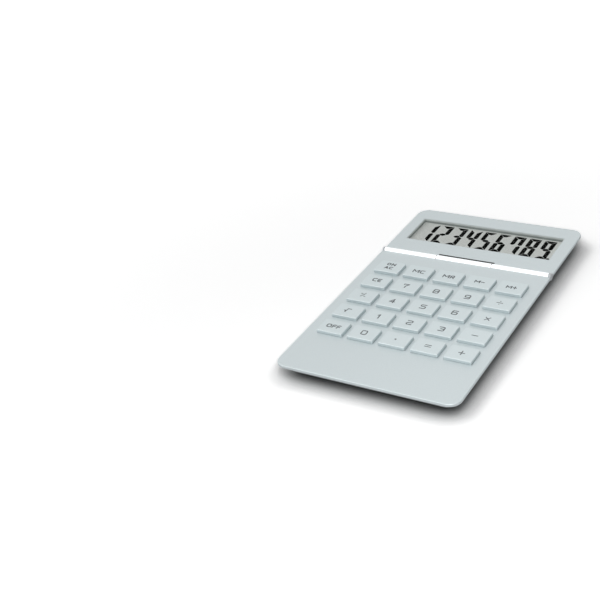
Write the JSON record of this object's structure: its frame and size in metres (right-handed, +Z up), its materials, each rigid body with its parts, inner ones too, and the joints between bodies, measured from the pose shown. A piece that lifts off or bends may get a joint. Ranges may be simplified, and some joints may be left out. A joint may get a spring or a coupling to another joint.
{
  "type": "desk calculator",
  "caption": "Slim desk calculator with a keyboard half and a tilting display half on a round hinge barrel.",
  "frame": {"origin": "on the table, under the middle of the calculator's outline", "axes": "+X to the right, +Y from the keys towards the display, +Z up"},
  "size_m": [0.1, 0.1694, 0.0104],
  "materials": {
    "satin_silver": "satin silver",
    "key_silver": "satin silver",
    "grey_case": "fine matt grain",
    "bright_barrel": "bright pearl",
    "end_cap_grey": "satin",
    "bezel_grey": "matt",
    "clear_sheet": "clear",
    "lcd_glass": "satin polariser",
    "reflector": "satin",
    "silicone": "matt",
    "carbon": "matt",
    "circuit_board": "solder resist",
    "white_plastic": "matt",
    "ribbon_film": "film",
    "battery_steel": "satin",
    "spring_metal": "satin",
    "screw_steel": "satin",
    "foot_rubber": "matt",
    "elastomer": "matt",
    "chip_resin": "resin"
  },
  "bodies": {
    "keyboard_unit": {"keyboard_cover": "satin_silver", "keyboard_bottom_case": "grey_case", "battery_door": "grey_case", "key_membrane": "silicone", "contact_pads": "carbon", "main_board": "circuit_board", "main_connector": "white_plastic", "ribbon_cable_lower": "ribbon_film", "coin_cell": "battery_steel", "battery_contact_plus": "spring_metal", "battery_contact_minus": "spring_metal", "battery_door_screw": "screw_steel", "keyboard_screws": "screw_steel", "hinge_pins": "screw_steel", "keyboard_feet": "foot_rubber", "hinge_knuckle": "bright_barrel"},
    "display_unit": {"display_cover": "satin_silver", "display_back_cover": "grey_case", "window_bezel": "bezel_grey", "window_lens": "clear_sheet", "lcd_panel": "lcd_glass", "reflector_film": "reflector", "lcd_frame": "white_plastic", "zebra_strip": "elastomer", "display_board": "circuit_board", "controller_chip": "chip_resin", "capacitors": "chip_resin", "display_connector": "white_plastic", "ribbon_cable_upper": "ribbon_film", "display_screws": "screw_steel", "display_feet": "foot_rubber", "hinge_barrel_left": "bright_barrel", "hinge_barrel_right": "bright_barrel", "friction_sleeves": "spring_metal", "barrel_end_caps": "end_cap_grey"},
    "key_on_ac": {"key_on_ac": "key_silver"},
    "key_mc": {"key_mc": "key_silver"},
    "key_mr": {"key_mr": "key_silver"},
    "key_m_minus": {"key_m_minus": "key_silver"},
    "key_m_plus": {"key_m_plus": "key_silver"},
    "key_ce": {"key_ce": "key_silver"},
    "key_7": {"key_7": "key_silver"},
    "key_8": {"key_8": "key_silver"},
    "key_9": {"key_9": "key_silver"},
    "key_divide": {"key_divide": "key_silver"},
    "key_percent": {"key_percent": "key_silver"},
    "key_4": {"key_4": "key_silver"},
    "key_5": {"key_5": "key_silver"},
    "key_6": {"key_6": "key_silver"},
    "key_multiply": {"key_multiply": "key_silver"},
    "key_root": {"key_root": "key_silver"},
    "key_1": {"key_1": "key_silver"},
    "key_2": {"key_2": "key_silver"},
    "key_3": {"key_3": "key_silver"},
    "key_minus": {"key_minus": "key_silver"},
    "key_off": {"key_off": "key_silver"},
    "key_0": {"key_0": "key_silver"},
    "key_point": {"key_point": "key_silver"},
    "key_equals": {"key_equals": "key_silver"},
    "key_plus": {"key_plus": "key_silver"}
  },
  "joints": [
    {"name": "display_tilt", "type": "hinge", "parent": "keyboard_unit", "child": "display_unit", "pos_m": [0, 0.03445, 0.00785], "axis": [1, 0, 0], "range_deg": [0, 40]},
    {"name": "key_on_ac_press", "type": "slide", "parent": "keyboard_unit", "child": "key_on_ac", "axis": [0, 0, -1], "range_m": [0, 0.0012], "stiffness_N_per_m": 400, "springref_m": -0.0004},
    {"name": "key_mc_press", "type": "slide", "parent": "keyboard_unit", "child": "key_mc", "axis": [0, 0, -1], "range_m": [0, 0.0012], "stiffness_N_per_m": 400, "springref_m": -0.0004},
    {"name": "key_mr_press", "type": "slide", "parent": "keyboard_unit", "child": "key_mr", "axis": [0, 0, -1], "range_m": [0, 0.0012], "stiffness_N_per_m": 400, "springref_m": -0.0004},
    {"name": "key_m_minus_press", "type": "slide", "parent": "keyboard_unit", "child": "key_m_minus", "axis": [0, 0, -1], "range_m": [0, 0.0012], "stiffness_N_per_m": 400, "springref_m": -0.0004},
    {"name": "key_m_plus_press", "type": "slide", "parent": "keyboard_unit", "child": "key_m_plus", "axis": [0, 0, -1], "range_m": [0, 0.0012], "stiffness_N_per_m": 400, "springref_m": -0.0004},
    {"name": "key_ce_press", "type": "slide", "parent": "keyboard_unit", "child": "key_ce", "axis": [0, 0, -1], "range_m": [0, 0.0012], "stiffness_N_per_m": 400, "springref_m": -0.0004},
    {"name": "key_7_press", "type": "slide", "parent": "keyboard_unit", "child": "key_7", "axis": [0, 0, -1], "range_m": [0, 0.0012], "stiffness_N_per_m": 400, "springref_m": -0.0004},
    {"name": "key_8_press", "type": "slide", "parent": "keyboard_unit", "child": "key_8", "axis": [0, 0, -1], "range_m": [0, 0.0012], "stiffness_N_per_m": 400, "springref_m": -0.0004},
    {"name": "key_9_press", "type": "slide", "parent": "keyboard_unit", "child": "key_9", "axis": [0, 0, -1], "range_m": [0, 0.0012], "stiffness_N_per_m": 400, "springref_m": -0.0004},
    {"name": "key_divide_press", "type": "slide", "parent": "keyboard_unit", "child": "key_divide", "axis": [0, 0, -1], "range_m": [0, 0.0012], "stiffness_N_per_m": 400, "springref_m": -0.0004},
    {"name": "key_percent_press", "type": "slide", "parent": "keyboard_unit", "child": "key_percent", "axis": [0, 0, -1], "range_m": [0, 0.0012], "stiffness_N_per_m": 400, "springref_m": -0.0004},
    {"name": "key_4_press", "type": "slide", "parent": "keyboard_unit", "child": "key_4", "axis": [0, 0, -1], "range_m": [0, 0.0012], "stiffness_N_per_m": 400, "springref_m": -0.0004},
    {"name": "key_5_press", "type": "slide", "parent": "keyboard_unit", "child": "key_5", "axis": [0, 0, -1], "range_m": [0, 0.0012], "stiffness_N_per_m": 400, "springref_m": -0.0004},
    {"name": "key_6_press", "type": "slide", "parent": "keyboard_unit", "child": "key_6", "axis": [0, 0, -1], "range_m": [0, 0.0012], "stiffness_N_per_m": 400, "springref_m": -0.0004},
    {"name": "key_multiply_press", "type": "slide", "parent": "keyboard_unit", "child": "key_multiply", "axis": [0, 0, -1], "range_m": [0, 0.0012], "stiffness_N_per_m": 400, "springref_m": -0.0004},
    {"name": "key_root_press", "type": "slide", "parent": "keyboard_unit", "child": "key_root", "axis": [0, 0, -1], "range_m": [0, 0.0012], "stiffness_N_per_m": 400, "springref_m": -0.0004},
    {"name": "key_1_press", "type": "slide", "parent": "keyboard_unit", "child": "key_1", "axis": [0, 0, -1], "range_m": [0, 0.0012], "stiffness_N_per_m": 400, "springref_m": -0.0004},
    {"name": "key_2_press", "type": "slide", "parent": "keyboard_unit", "child": "key_2", "axis": [0, 0, -1], "range_m": [0, 0.0012], "stiffness_N_per_m": 400, "springref_m": -0.0004},
    {"name": "key_3_press", "type": "slide", "parent": "keyboard_unit", "child": "key_3", "axis": [0, 0, -1], "range_m": [0, 0.0012], "stiffness_N_per_m": 400, "springref_m": -0.0004},
    {"name": "key_minus_press", "type": "slide", "parent": "keyboard_unit", "child": "key_minus", "axis": [0, 0, -1], "range_m": [0, 0.0012], "stiffness_N_per_m": 400, "springref_m": -0.0004},
    {"name": "key_off_press", "type": "slide", "parent": "keyboard_unit", "child": "key_off", "axis": [0, 0, -1], "range_m": [0, 0.0012], "stiffness_N_per_m": 400, "springref_m": -0.0004},
    {"name": "key_0_press", "type": "slide", "parent": "keyboard_unit", "child": "key_0", "axis": [0, 0, -1], "range_m": [0, 0.0012], "stiffness_N_per_m": 400, "springref_m": -0.0004},
    {"name": "key_point_press", "type": "slide", "parent": "keyboard_unit", "child": "key_point", "axis": [0, 0, -1], "range_m": [0, 0.0012], "stiffness_N_per_m": 400, "springref_m": -0.0004},
    {"name": "key_equals_press", "type": "slide", "parent": "keyboard_unit", "child": "key_equals", "axis": [0, 0, -1], "range_m": [0, 0.0012], "stiffness_N_per_m": 400, "springref_m": -0.0004},
    {"name": "key_plus_press", "type": "slide", "parent": "keyboard_unit", "child": "key_plus", "axis": [0, 0, -1], "range_m": [0, 0.0012], "stiffness_N_per_m": 400, "springref_m": -0.0004}
  ]
}
